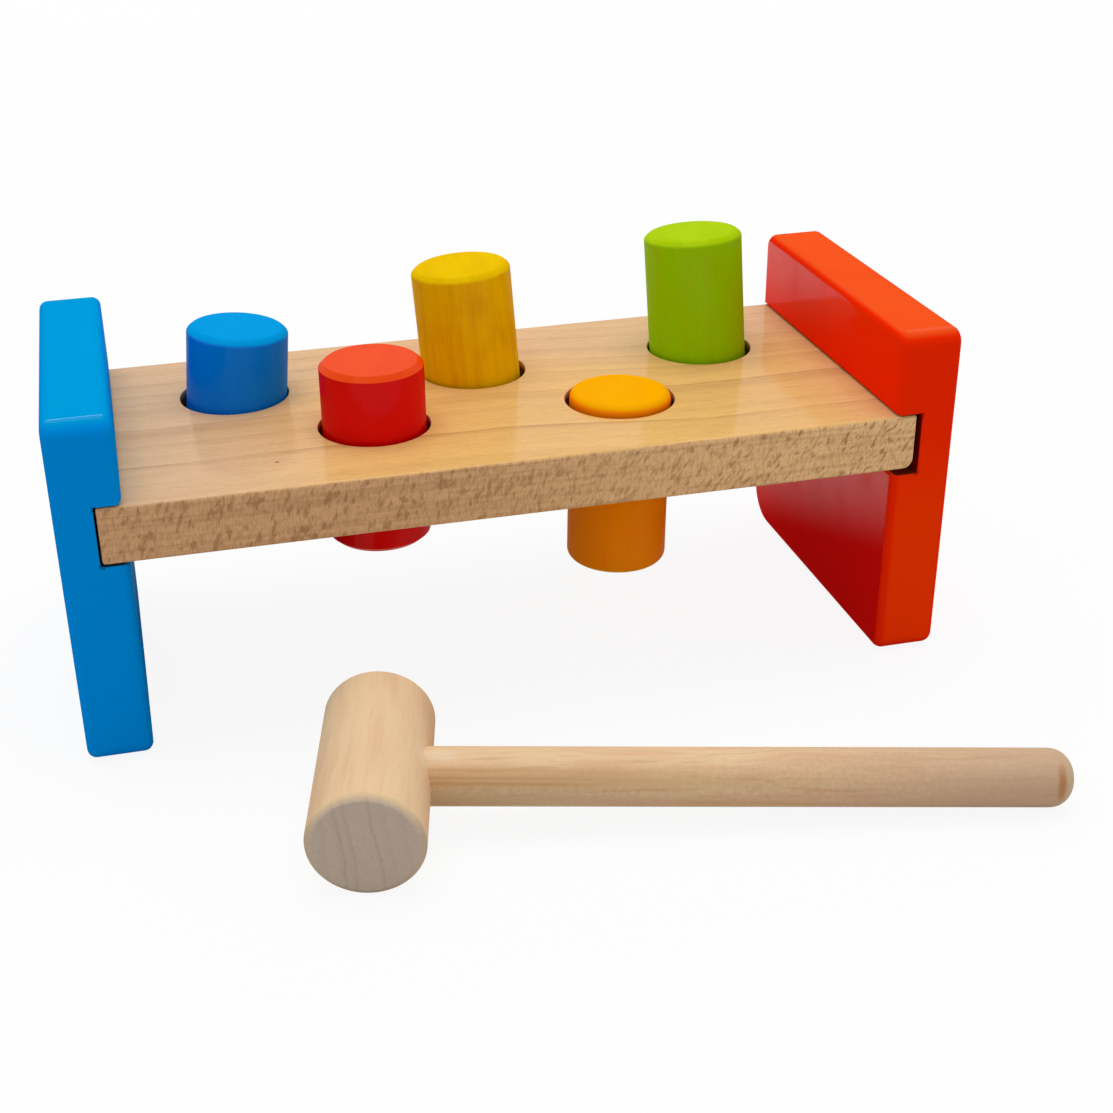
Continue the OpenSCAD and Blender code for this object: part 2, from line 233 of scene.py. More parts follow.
# A growth line in the wood: how far its dark core fades to both sides and how far its shade
# starts about it, in millimetres, and how strong core and shade are
LINE_CORE, LINE_SHADE = (0.1, 0.6), (-0.3, 0.3)
CORE_STRENGTH, SHADE_STRENGTH = 0.5, 0.45


def growth_line(row, place, dark, shade):
    """A fine dark line with a softer shade in front of it."""
    gap = place - row
    core = fade(size_of(gap), *LINE_CORE)
    tail = smooth(gap, *LINE_SHADE) * fade(gap, LINE_SHADE[1], shade)
    return dark * (CORE_STRENGTH * core + SHADE_STRENGTH * tail)


def growth_lines(row, lines):
    return sum((growth_line(row, *line) for line in lines), 0.0)


def new_material(name):
    made = bpy.data.materials.new(name)
    made.use_nodes = True
    return made, made.node_tree, made.node_tree.nodes["Principled BSDF"]


def finish_shader(shader, colour, rough, height=None, relief_mm=0.0, shine=0.0, coat=0.0,
                  coat_rough=0.1):
    """Joins the colour, the roughness and the relief to the shader, and sets its gloss."""
    tree = shader.id_data
    for socket, value in (("Base Color", colour), ("Roughness", rough), ("Coat Weight", coat)):
        if isinstance(value, Socket):
            tree.links.new(value.link, shader.inputs[socket])
        else:
            shader.inputs[socket].default_value = value
    shader.inputs["Specular IOR Level"].default_value = shine
    shader.inputs["Coat Roughness"].default_value = coat_rough
    if height is not None:
        bump = add(tree, "ShaderNodeBump", None, Height=height, Distance=relief_mm / MM, Strength=1.0)
        tree.links.new(bump.link, shader.inputs["Normal"])


# Lacquer of the two end boards. Inward is 1 where the inner face looks to the right and -1 where
# it looks to the left. The colours are those of the sides, of the top, paler as painted light, of
# the inner face near the floor, darker as painted shade under the board, and of the narrow faces
# near the floor. Gloss is the coat where the board shines most, rubbed is the coat where hands
# have dulled it, and blur is the coat's roughness
LACQUERS = {
    "left_end_board": {
        "inward": 1, "side": srgb(0, 147, 235), "top": srgb(0, 156, 217), "low": srgb(0, 140, 232),
        "foot": srgb(0, 147, 235), "gloss": 0.05, "rubbed": 0.005, "blur": 0.06},
    "right_end_board": {
        "inward": -1, "side": srgb(255, 42, 0), "top": srgb(247, 88, 30), "low": srgb(236, 3, 0),
        "foot": srgb(255, 58, 0), "gloss": 0.65, "rubbed": 0.02, "blur": 0.1},
}
# Noises of the lacquer: waves per millimetre and detail
LACQUER_GRAIN = {
    "cloud": (even(0.03), 3),
    "patch": (even(0.09), 4),
    "peel": (even(0.9), 2),
    "ripple": (even(0.12), 1),
}
# How squarely a surface looks up, inwards or outwards, or to the front, where each look starts
# and where it is full
LACQUER_LIT_TOP, LACQUER_WIDE, LACQUER_NARROW = (0.55, 0.95), (0.965, 0.995), (0.9, 0.97)
# How strong the painted light of the top's paler colour is, and how much clouds change that
LIT_TOP_STRENGTH, LIT_TOP_CLOUDS = 0.85, 0.3
# Heights in millimetres between which the low colours give way to the side's; on the inner
# face the darker low colour is painted shade under the board
LOW_SHADE_HEIGHTS, FOOT_COLOUR = (29.0, 69.0), (40.0, 75.0)
# Heights between which a gleam on the inner face starts and ends, its share of the gloss, and
# the heights above which the whole face shines
GLEAM_START, GLEAM_END, GLEAM_GLOSS = (30.0, 56.0), (62.0, 76.0), 0.8
SHINE_START = (90.0, 120.0)
# How much higher, for each millimetre forwards, the low colour's painted shade and the gleam
# start, and the shine does
GLEAM_SLOPE, SHINE_SLOPE = 0.34, 0.25
# Coat of the outer face as a share of the gloss
OUTER_GLOSS = 0.4
# The rounded edge between front and top has this coat besides, where it looks so far forwards
# and so far up
EDGE_COAT, EDGE_FORWARD, EDGE_UP = 0.3, (0.03, 0.1), (0.9, 0.97)
# Roughness of the lacquer, what its patches add to that and take off the coat, and its relief
LACQUER_ROUGH, PATCH_ROUGH = 0.42, 0.12
PATCH_DULLS, PATCH_LEVELS = 0.25, (0.5, 0.75)
RIPPLE_HEIGHT, LACQUER_RELIEF_MM = 4.0, 0.004

# Painted shade in the slots, in millimetres: where it starts behind the inner face, where it ends
# past the board's end, and where it ends above and below the board. Surfaces that look so far to
# the front or back stay unshaded
SLOT_SHADE_COLOUR, SLOT_SHADE_STRENGTH = srgb(40, 10, 8), 0.8
SLOT_MOUTH, SLOT_FLOOR, SLOT_ROOM = (0.4, 1.4), (2.0, 2.5), (2.5, 3.0)
SLOT_FRONT = (0.3, 0.6)


def in_shaded_slot(name, inward, spot, front):
    """1 on the walls of the slot that holds the bench board, where the lacquer is darkened by painted
    shade.
    """
    inner_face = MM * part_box(name)[max(inward, 0)][RIGHT]
    board_end = (BOARD_LOW, BOARD_HIGH)[max(-inward, 0)][RIGHT]
    board_deep = inward * (inner_face - board_end)
    deep, high = inward * (inner_face - part(spot, RIGHT)), part(spot, UP)
    start, end = SLOT_ROOM
    inside = smooth(deep, *SLOT_MOUTH) * fade(deep, *(board_deep + past for past in SLOT_FLOOR))
    above = smooth(high, BOARD_LOW[UP] - end, BOARD_LOW[UP] - start)
    below = fade(high, BOARD_HIGH[UP] + start, BOARD_HIGH[UP] + end)
    return inside * above * below * fade(size_of(front), *SLOT_FRONT)


def lacquer(name, inward, side, top, low, foot, gloss, rubbed, blur):
    """Thick lacquer: nearly even, with a faint orange peel and slightly duller patches."""
    made, tree, shader = new_material(name + " lacquer")
    spot = place_on(tree)
    grain = textures(spot, LACQUER_GRAIN)
    across, front, up = parts_of(facing(tree))
    deep, high = part(spot, BACK), part(spot, UP)
    inner, outer = (smooth(way * across, *LACQUER_WIDE) for way in (inward, -inward))
    gleam_high, shine_high = high + GLEAM_SLOPE * deep, high + SHINE_SLOPE * deep
    slot = in_shaded_slot(name, inward, spot, front)

    # Painted light: the top takes a paler colour than the sides
    lit_tops = smooth(up, *LACQUER_LIT_TOP) * (LIT_TOP_STRENGTH + swing(grain["cloud"], LIT_TOP_CLOUDS))
    colour = mix(lit_tops, side, top)
    # Painted shade: the inner face takes a darker colour low down, under the board
    colour = mix(inner * fade(gleam_high, *LOW_SHADE_HEIGHTS), colour, low)
    narrow = smooth(size_of(front), *LACQUER_NARROW)
    colour = mix(narrow * fade(high, *FOOT_COLOUR), colour, foot)
    # Painted shade darkens the lacquer on the slot's walls
    colour = mix(SLOT_SHADE_STRENGTH * slot, colour, SLOT_SHADE_COLOUR)

    gleam = GLEAM_GLOSS * smooth(gleam_high, *GLEAM_START) * fade(high, *GLEAM_END)
    polish = inner * (gleam + smooth(shine_high, *SHINE_START)) + OUTER_GLOSS * outer
    edge = smooth(0 - front, *EDGE_FORWARD) * smooth(up, *EDGE_UP)
    coat = (rubbed + (gloss - rubbed) * polish + EDGE_COAT * edge) * (1 - slot)
    coat = coat * (1 - PATCH_DULLS * smooth(grain["patch"], *PATCH_LEVELS))
    finish_shader(shader, colour, LACQUER_ROUGH + PATCH_ROUGH * grain["patch"],
                  grain["peel"] + RIPPLE_HEIGHT * grain["ripple"], LACQUER_RELIEF_MM,
                  coat=coat, coat_rough=blur)
    return made


# Stained and varnished pegs: colours of the sides and of the ends, each with its darker streaks,
# how strong the streaks are, and the coat of sides and ends. The ends' paler colour is painted
# light on the tops
PEGS = {
    "blue_peg": {
        "side": srgb(0, 129, 235), "streak": srgb(0, 118, 222), "end": srgb(0, 157, 228),
        "end_streak": srgb(0, 150, 222), "streaks": 0.5, "gloss": 0.2, "end_gloss": 0.02},
    "red_peg": {
        "side": srgb(232, 4, 0), "streak": srgb(212, 1, 0), "end": srgb(244, 74, 4),
        "end_streak": srgb(240, 64, 2), "streaks": 0.5, "gloss": 0.2, "end_gloss": 0.2},
    "yellow_peg": {
        "side": srgb(244, 190, 0), "streak": srgb(221, 153, 0), "end": srgb(239, 195, 0),
        "end_streak": srgb(232, 182, 0), "streaks": 0.8, "gloss": 0.08, "end_gloss": 0.02},
    "orange_peg": {
        "side": srgb(255, 142, 0), "streak": srgb(255, 126, 0), "end": srgb(255, 178, 0),
        "end_streak": srgb(253, 168, 0), "streaks": 0.5, "gloss": 0.08, "end_gloss": 0.02},
    "green_peg": {
        "side": srgb(149, 206, 0), "streak": srgb(159, 191, 0), "end": srgb(179, 210, 12),
        "end_streak": srgb(166, 204, 0), "streaks": 0.8, "gloss": 0.08, "end_gloss": 0.03},
}
# Noises of the pegs: waves per millimetre, detail, and roughness where it isn't the usual half
PEG_GRAIN = {
    "grain": ((0.45, 0.45, 0.03), 4, 0.6),
    "fibre": ((3.2, 3.2, 0.12), 2),
    "blot": ((0.12, 0.12, 0.09), 3),
    "ring": ((0.25, 0.06, 0.01), 3),
    "pore": ((2.6, 0.7, 0.02), 2),
}
# Which of them streak the sides and the ends: strength, and levels of noise at start and end
PEG_SIDE_STREAKS = {"grain": (0.5, 0.4, 0.7), "fibre": (0.2, 0.4, 0.7), "blot": (0.4, 0.45, 0.7)}
PEG_END_STREAKS = {"ring": (0.6, 0.45, 0.62), "pore": (0.4, 0.52, 0.7)}
# How far a surface looks along the peg where the look of the ends starts and where it is full
PEG_END = (0.3, 0.7)
# Roughness of the peg, what its fibre adds to that, and the roughness of its coat
PEG_ROUGH, PEG_FIBRE_ROUGH, PEG_BLUR = 0.42, 0.16, 0.16
PEG_RELIEF_MM = 0.02


def stained_peg(name, side, streak, end, end_streak, streaks, gloss, end_gloss):
    """A turned peg: grain runs along its sides, and shows as pores and faint rings on its ends."""
    made, tree, shader = new_material(name)
    to_right, to_back = PEG_LEANS[name]
    turn = (-to_back, to_right, 0)
    grain = textures(place_on(tree, box_middle(name), turn), PEG_GRAIN)
    ends = smooth(size_of(part(facing(tree, turn), UP)), *PEG_END)
    side_look = mix(streaks_of(grain, PEG_SIDE_STREAKS) * streaks, side, streak)
    # Painted light: the ends take a paler colour than the sides; their rings and pores are end grain
    end_look = mix(streaks_of(grain, PEG_END_STREAKS) * streaks, end, end_streak)
    height = grain["fibre"] * (1 - ends) + grain["pore"] * ends
    coat = gloss if gloss == end_gloss else gloss + (end_gloss - gloss) * ends
    finish_shader(shader, mix(ends, side_look, end_look), PEG_ROUGH + PEG_FIBRE_ROUGH * grain["fibre"],
                  height, PEG_RELIEF_MM * streaks, coat=coat, coat_rough=PEG_BLUR)
    return made


# Beech of the board's faces: golden in the middle of the front, rosier at the left end and at
# the back, paler at the right end
BEECH_GOLD = srgb(242, 193, 118)
BEECH_ROSE = srgb(232, 188, 142)
BEECH_PALE = srgb(222, 194, 150)
BEECH_LINE = srgb(166, 114, 68)
# Beech of its edges, rosier at the left, with brown flecks, and of its holes, lightest at the rim
# and darker below it as painted shade
EDGE_GOLD = srgb(255, 210, 152)
EDGE_ROSE = srgb(228, 180, 132)
FLECK_BROWN = srgb(150, 96, 54)
HOLE_SHADE_BROWN = srgb(112, 72, 42)
HOLE_RIM_WOOD = srgb(222, 176, 122)
KNOT_BROWN = srgb(80, 46, 28)

# Noises of the board, and which of them streak its faces and its edges, given as for the pegs
BOARD_GRAIN = {
    "drift": ((0.03, 0.01, 0.01), 2),
    "fibre": ((0.12, 1.9, 1.9), 3, 0.65),
    "vessel": ((0.5, 3.6, 3.6), 1),
    "cloud": ((0.012, 0.03, 0.03), 2),
    "fading": ((0.02, 0.06, 0.06), 2),
    "pore": ((2.0, 0.4, 0.4), 3, 0.65),
    "layer": ((0.02, 0.05, 1.0), 3, 0.6),
}
FINE_STREAKS = {"fibre": (0.18, 0.42, 0.7), "vessel": (0.16, 0.5, 0.72)}
EDGE_STREAKS = {"pore": (0.3, 0.42, 0.68), "layer": (0.2, 0.45, 0.65)}

# Places to the right of and behind the middle of the whole part, in millimetres, between which
# one colour gives way to the next, how far clouds shift them, and how far the second colour goes
GOLD_ALONG, GOLD_CLOUDS = (-90.0, -30.0), 50.0
ROSE_ACROSS, ROSE_CLOUDS, ROSE_STRENGTH = (50.0, 80.0), 30.0, 0.8
PALE_ALONG, PALE_STRENGTH = (78.0, 115.0), 0.5
EDGE_ALONG = (-60.0, 100.0)

# Growth lines on the board's faces: how far each lies behind the middle of the whole part, in
# millimetres, how dark it is, and how far its shade reaches towards the front
GROWTH_LINES = (
    (5.0, 0.15, 3.0), (10.5, 0.2, 4.0), (16.8, 1.0, 3.5), (24.0, 0.15, 5.0), (31.0, 0.2, 5.0),
    (43.2, 1.0, 13.0), (51.5, 0.15, 3.0), (58.5, 0.45, 6.0), (63.5, 0.15, 3.0), (69.5, 0.5, 5.0),
    (78.0, 0.4, 9.0), (88.5, 0.35, 7.0), (97.0, 0.35, 6.0), (105.0, 0.25, 6.0),
)
# The lines bend this far to the front between two places along the board, drift by noise, and
# slant through its thickness
LINE_BEND, LINE_BEND_ALONG = 9.0, (-5.0, 60.0)
LINE_DRIFT, LINE_SLANT = 3.0, 0.3
# Strength of the lines, which fades in places to a least share of it
LINE_STRENGTH, LINE_LEAST, LINE_LEVELS = 0.68, 0.4, (0.35, 0.6)
# Broader bands between the lines: waves per millimetre along and across, detail and strength
BAND_ALONG, BAND_ACROSS, BAND_DETAIL = 0.003, 0.12, 3
BAND_STRENGTH, BAND_LEVELS = 0.14, (0.4, 0.7)

# A small dark knot in the top, and its half widths
KNOT_PLACE, KNOT_SIZE, KNOT_STRENGTH = (-65.2, 10.2, 75.9), (0.9, 0.6, 1.0), 0.9

# Flecks: waves per millimetre along the board and up, lean in degrees and the level of noise
# at which they start
BROAD_FLECKS = {"along": 0.8, "up": 0.34, "lean": 18, "start": 0.49}
NARROW_FLECKS = {"along": 0.85, "up": 0.36, "lean": 36, "start": 0.5}
ARRIS_FLECKS = {"along": 0.6, "up": 0.1, "lean": 0, "start": 0.5}
# What they share: waves per millimetre from front to back, detail, and how softly they start
FLECK_DEEP, FLECK_DETAIL, FLECK_SOFT = 0.02, 1.5, 0.22
# How far the broad ones fade to the right, the share of the narrow ones at the left, and the
# strength of all at the left, with its gain to the right
BROAD_FADES, NARROW_LEAST = 0.75, 0.35
FLECK_STRENGTH, FLECK_GAIN = 0.55, 0.15

# How far a surface looks up or down where the faces' look starts and is full, and how ragged
# its border is; the same for the arris between face and edge, darkened by brown flecks and by
# painted shade, and for the board's ends
FACE_LEVEL, FACE_RAGGED = (0.55, 0.8), 0.2
ARRIS_START, ARRIS_END, ARRIS_LEVELS, ARRIS_SHADE_STRENGTH = (0.1, 0.4), (0.85, 0.98), (0.5, 1.0), 0.2
END_LEVEL, END_STRENGTH = (0.7, 0.9), 0.4

# A steep surface nearer to a hole's middle than this, in millimetres, is the wall of the hole,
# which darkens between two depths as painted shade
HOLE_REACH, HOLE_STEEP, HOLE_SHADE_DEPTHS = (17.8, 18.2), (0.3, 0.8), (0.3, 2.5)

# Roughness of the board, what its fibre adds to that, and its relief, in which flecks lie deeper
BOARD_ROUGH, BOARD_FIBRE_ROUGH = 0.4, 0.15
FLECK_SINKS, BOARD_RELIEF_MM = 0.5, 0.008
# Varnish of the edges, what the faces have on top of it, and its roughness
VARNISH_EDGE, VARNISH_FACE, VARNISH_LEVEL, VARNISH_BLUR = 0.05, 0.4, (0.5, 0.95), 0.12


def flecks(spot, along, up, lean, start):
    """Soft ragged dashes, leaning to one side. Each lean has its own place in the noise."""
    leaning = add(spot.tree, "ShaderNodeMapping", {"vector_type": "TEXTURE"}, Vector=spot,
                  Location=(lean, lean, 0), Rotation=(0, math.radians(lean), 0))
    level = noise(leaning, (along, FLECK_DEEP, up), FLECK_DETAIL)
    return smooth(level, start, start + FLECK_SOFT)


def shaded_hole_walls(spot, level):
    """1 on the walls of the peg holes, which painted shade darkens with depth, and 0 elsewhere."""
    flat = stretched(spot, (1, 1, 0))
    nearest = None
    for name in PEGS:
        right, back, _ = box_middle(name.replace("peg", "grip_ring"))
        away = add(spot.tree, "ShaderNodeVectorMath", {"operation": "DISTANCE"}, "Value",
                   i0=flat, i1=(MM * right, MM * back, 0))
        nearest = away if nearest is None else maths("MINIMUM", nearest, away)
    return fade(nearest, *HOLE_REACH) * fade(level, *HOLE_STEEP)


def beech_faces(tree, spot, grain, under_top):
    """Colour of the board's top and underside: golden beech with lengthwise growth lines."""
    along, across = part(spot, RIGHT), part(spot, BACK)
    gold = (smooth(along + swing(grain["cloud"], GOLD_CLOUDS), *GOLD_ALONG)
            * (1 - ROSE_STRENGTH * smooth(across + swing(grain["cloud"], ROSE_CLOUDS), *ROSE_ACROSS)))
    colour = mix(gold, BEECH_ROSE, BEECH_GOLD)
    colour = mix(PALE_STRENGTH * smooth(along, *PALE_ALONG), colour, BEECH_PALE)
    row = (across + LINE_BEND * smooth(along, *LINE_BEND_ALONG) + LINE_SLANT * under_top
           + swing(grain["drift"], LINE_DRIFT))
    row_place = add(tree, "ShaderNodeCombineXYZ", None, X=along * BAND_ALONG, Y=row, Z=0.0)
    band = smooth(noise(row_place, (1, BAND_ACROSS, 1), BAND_DETAIL), *BAND_LEVELS)
    seen = LINE_LEAST + (1 - LINE_LEAST) * smooth(grain["fading"], *LINE_LEVELS)
    lines = LINE_STRENGTH * growth_lines(row, GROWTH_LINES) * seen
    colour = mix(lines + BAND_STRENGTH * band, colour, BEECH_LINE)
    colour = mix(streaks_of(grain, FINE_STREAKS), colour, BEECH_LINE)
    return mix(KNOT_STRENGTH * smudge(spot, KNOT_PLACE, KNOT_SIZE), colour, KNOT_BROWN)


def beech_edges(spot, grain):
    """Colour of the board's edges, and their brown flecks."""
    to_right = smooth(part(spot, RIGHT), *EDGE_ALONG)
    fleck = maths("MAXIMUM", flecks(spot, **BROAD_FLECKS) * (1 - BROAD_FADES * to_right),
                  flecks(spot, **NARROW_FLECKS) * (NARROW_LEAST + (1 - NARROW_LEAST) * to_right))
    colour = mix(streaks_of(grain, EDGE_STREAKS), mix(to_right, EDGE_ROSE, EDGE_GOLD), FLECK_BROWN)
    return mix((FLECK_STRENGTH + FLECK_GAIN * to_right) * fleck, colour, FLECK_BROWN), fleck


def beech_board(name):
    """Beech under clear varnish: lengthwise growth lines on the faces, brown flecks on the edges."""
    made, tree, shader = new_material(name)
    spot = place_on(tree)
    grain = textures(spot, BOARD_GRAIN)
    face = facing(tree)
    level, endwise = size_of(part(face, UP)), size_of(part(face, RIGHT))
    under_top = BOARD_HIGH[UP] - part(spot, UP)
    walls = shaded_hole_walls(spot, level)

    edges, fleck = beech_edges(spot, grain)
    faces = beech_faces(tree, spot, grain, under_top)
    colour = mix(smooth(level + swing(grain["pore"], FACE_RAGGED), *FACE_LEVEL), edges, faces)
    # The arris darkens in ragged flecks, partly brown flecks and partly painted shade
    arris = smooth(level, *ARRIS_START) * fade(level, *ARRIS_END)
    rubbed = smooth(flecks(spot, **ARRIS_FLECKS) + grain["pore"], *ARRIS_LEVELS)
    colour = mix(ARRIS_SHADE_STRENGTH * arris * rubbed, colour, FLECK_BROWN)
    colour = mix(END_STRENGTH * smooth(endwise, *END_LEVEL), colour, BEECH_LINE)
    # Painted shade: the hole walls darken with depth below the rim
    colour = mix(walls, colour, mix(smooth(under_top, *HOLE_SHADE_DEPTHS), HOLE_RIM_WOOD, HOLE_SHADE_BROWN))

    varnish = (VARNISH_FACE * smooth(level, *VARNISH_LEVEL) + VARNISH_EDGE) * (1 - walls)
    finish_shader(shader, colour, BOARD_ROUGH + BOARD_FIBRE_ROUGH * grain["fibre"],
                  grain["fibre"] - FLECK_SINKS * fleck, BOARD_RELIEF_MM,
                  coat=varnish, coat_rough=VARNISH_BLUR)
    return made


# Bare turned wood of the mallet: its sides, their fine lines, its end grain, and the rims
# between them, pale with a painted highlight, and grey with painted shade at the head's sides
# and at its underside
MALLET_LIGHT = srgb(244, 212, 168)
MALLET_DEEP = srgb(232, 186, 146)
MALLET_LINE = srgb(198, 142, 94)
MALLET_END = srgb(206, 186, 168)
MALLET_END_DEEP = srgb(178, 156, 136)
MALLET_RIM_HIGHLIGHT = srgb(255, 222, 174)
MALLET_RIM_SHADE = srgb(205, 178, 149)
# Its marks
SCORCH = srgb(188, 126, 70)
# A pale patch where handle and head meet
JOINT_PALE = srgb(242, 230, 204)
HANDLED = srgb(199, 165, 138)
HANDLE_BROWN = srgb(206, 158, 104)
HANDLE_SHADE = srgb(190, 156, 116)
TIP_PALE = srgb(214, 194, 154)

# Noises of turned wood: waves per millimetre across and along the grain, detail, roughness.
# All but the fibre are bent by a broad noise, by up to so many millimetres
WOOD_GRAIN = {
    "grain": (0.22, 0.02, 4, 0.65),
    "line": (0.9, 0.025, 3, 0.6),
    "broad": (0.1, 0.015, 2, 0.5),
    "fibre": (2.4, 0.22, 3, 0.6),
}
WARP_WAVES, WARP_MM = 0.02, 9
# Which of them streak the sides and the end grain, given as for the pegs
WOOD_STREAKS = {"grain": (0.4, 0.4, 0.65), "fibre": (0.2, 0.42, 0.7)}
BROAD_STREAKS = {"broad": (0.45, 0.4, 0.6)}
LINE_STREAKS = {"line": (0.3, 0.52, 0.68)}
END_STREAKS = {"fibre": (0.35, 0.45, 0.7)}

# Growth lines on the mallet's end grain: how far each lies to the right of the middle, in
# millimetres, how dark it is, and how far its shade reaches. They lean, and are bent by noise
END_LINES = (
    (-10.0, 0.35, 3.0), (-6.2, 0.8, 1.8), (-3.6, 0.6, 2.0), (3.0, 0.7, 1.2), (6.2, 0.3, 3.0),
    (10.5, 0.3, 3.0),
)
END_LINE_STRENGTH, END_LINE_LEAN = 0.6, 0.1
END_LINE_WAVES, END_LINE_BEND, END_LINE_DETAIL = 0.08, 4.0, 3
# Growth lines along the handle's front: how high each lies above its middle, in millimetres,
# how dark it is, and how far its shade reaches. They end between two places along the handle
HANDLE_LINES = ((5.4, 0.35, 1.0), (3.8, 0.6, 0.7), (2.5, 0.75, 1.2))
HANDLE_LINES_END = (-60.0, -10.0)
HANDLE_LINE_WAVES, HANDLE_LINE_BEND = (0.05, 0.2, 0.2), 0.8

# How far a surface looks along the grain where the rim and the end grain start and are full,
# and how strongly the rim's painted highlight and shade show
RIM_LEVEL, END_GRAIN_LEVEL, RIM_STRENGTH = (0.2, 0.7), (0.84, 0.97), 0.9
# How far a rim looks up where its painted shade gives way to its painted highlight, and how far
# from the head's middle line the shaded rim turns from end grain to side, in millimetres
RIM_UP, RIM_REACH = (0.05, 0.5), (12.8, 14.9)
# Roughness of the wood, what its fibre adds to that, its shine and its relief
WOOD_ROUGH, WOOD_FIBRE_ROUGH, WOOD_SHINE, WOOD_RELIEF_MM = 0.55, 0.15, 0.1, 0.03
# How strong the fine streaks of the mallet's head are beside those of its handle
HEAD_CONTRAST = 0.4

# Marks in millimetres from a piece's middle, each fading out at its half widths: on the handle
# darker wood towards the tip, a brown band along the front that is partly the wood's tone and
# partly painted shade, painted shade low on the front, a pale tip with a scorch beside it, and a
# pale patch where handle and head meet
HANDLE_MARKS = (
    {"place": (105.0, 0.0, 0.0), "size": (120.0, 30.0, 30.0), "colour": HANDLED, "strength": 0.72},
    # Painted shade along the handle's front: the upper band is partly the wood's tone
    {"place": (-50.0, -7.0, 3.2), "size": (125.0, 4.8, 4.8), "colour": HANDLE_BROWN, "strength": 0.5},
    {"place": (-75.0, -7.2, -2.0), "size": (120.0, 5.0, 5.0), "colour": HANDLE_SHADE, "strength": 0.5},
    {"place": (93.5, -3.0, 2.0), "size": (4.2, 12.0, 12.0), "colour": TIP_PALE, "strength": 0.6},
    {"place": (89.0, -6.9, 2.2), "size": (1.8, 6.5, 6.5), "colour": SCORCH, "strength": 0.8},
    {"place": (-68.0, -2.2, 7.3), "size": (5.5, 2.8, 2.8), "colour": JOINT_PALE, "strength": 0.35},
)
HEAD_MARKS = (
    {"place": (13.2, -1.0, 6.6), "size": (4.5, 6.5, 4.2), "colour": JOINT_PALE, "strength": 0.5},
)


def wood_grain(tree, spot, axis):
    """The noises of turned wood with its grain along an axis."""
    warp = add(tree, "ShaderNodeTexNoise", None, "Color",
               Vector=stretched(spot, even(WARP_WAVES)), Scale=1.0)
    bent = vector_maths("ADD", spot, stretched(warp, even(WARP_MM)))
    grain = {}
    for name, (across, along, detail, rough) in WOOD_GRAIN.items():
        waves = [along if way == axis else across for way in (RIGHT, BACK, UP)]
        grain[name] = noise(spot if name == "fibre" else bent, waves, detail, rough)
    return grain


def end_grain(spot, grain):
    """Colour of the end grain, with its growth lines."""
    bend = swing(noise(spot, even(END_LINE_WAVES), END_LINE_DETAIL), END_LINE_BEND)
    row = part(spot, RIGHT) + END_LINE_LEAN * part(spot, UP) + bend
    dark = END_LINE_STRENGTH * growth_lines(row, END_LINES) + streaks_of(grain, END_STREAKS)
    return mix(dark, MALLET_END, MALLET_END_DEEP)


def handle_lines(spot):
    """Growth lines along the front of the handle, from the head to the middle."""
    row = part(spot, UP) + swing(noise(spot, HANDLE_LINE_WAVES), HANDLE_LINE_BEND)
    return fade(part(spot, RIGHT), *HANDLE_LINES_END) * growth_lines(row, HANDLE_LINES)


def turned_wood(name, centre, turn, axis, marks=(), contrast=1.0, shaded_rim=False):
    """Bare turned wood with its grain along the given axis, greyer on the end grain."""
    made, tree, shader = new_material(name)
    spot = place_on(tree, centre, turn)
    grain = wood_grain(tree, spot, axis)
    face = facing(tree, turn)
    endwise = size_of(part(face, axis))
    streaks = contrast * streaks_of(grain, WOOD_STREAKS) + streaks_of(grain, BROAD_STREAKS)
    colour = mix(streaks, MALLET_LIGHT, MALLET_DEEP)
    colour = mix(contrast * streaks_of(grain, LINE_STREAKS), colour, MALLET_LINE)
    if axis == RIGHT:
        colour = mix(handle_lines(spot), colour, MALLET_LINE)
    end_colour = end_grain(spot, grain)
    # The rims take a painted highlight, and on the head painted shade where they look sideways or down
    rim = smooth(endwise, *RIM_LEVEL)
    if shaded_rim:
        rim_colour = mix(smooth(part(face, UP), *RIM_UP), MALLET_RIM_SHADE, MALLET_RIM_HIGHLIGHT)
        colour = mix(RIM_STRENGTH * rim, colour, rim_colour)
        from_middle = length_of(stretched(spot, (1, 0, 1)))
        colour = mix(rim * fade(from_middle, *RIM_REACH), colour, end_colour)
    else:
        colour = mix(RIM_STRENGTH * rim, colour, MALLET_RIM_HIGHLIGHT)
    colour = mix(smooth(endwise, *END_GRAIN_LEVEL), colour, end_colour)
    for mark in marks:
        share = mark["strength"] * smudge(spot, mark["place"], mark["size"])
        colour = mix(share, colour, mark["colour"])
    finish_shader(shader, colour, WOOD_ROUGH + WOOD_FIBRE_ROUGH * grain["fibre"], grain["fibre"],
                  WOOD_RELIEF_MM, WOOD_SHINE)
    return made


# Rubber of the grip rings, with a paler bloom
RUBBER_BLACK, RUBBER_BLOOM, BLOOM_LEVELS = srgb(34, 34, 36), srgb(52, 52, 54), (0.4, 0.7)
RUBBER_GRAIN = {"bloom": (even(0.5), 3), "skin": (even(6), 2)}
RUBBER_ROUGH, BLOOM_ROUGH, RUBBER_RELIEF_MM, RUBBER_SHINE = 0.6, 0.2, 0.02, 0.4


def rubber(name):
    """Black rubber with a faint bloom."""
    made, tree, shader = new_material(name)
    grain = textures(place_on(tree), RUBBER_GRAIN)
    colour = mix(smooth(grain["bloom"], *BLOOM_LEVELS), RUBBER_BLACK, RUBBER_BLOOM)
    finish_shader(shader, colour, RUBBER_ROUGH + BLOOM_ROUGH * grain["bloom"], grain["skin"],
                  RUBBER_RELIEF_MM, RUBBER_SHINE)
    return made


def dress(name, material):
    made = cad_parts[name]
    made.data.materials.clear()
    made.data.materials.append(material)


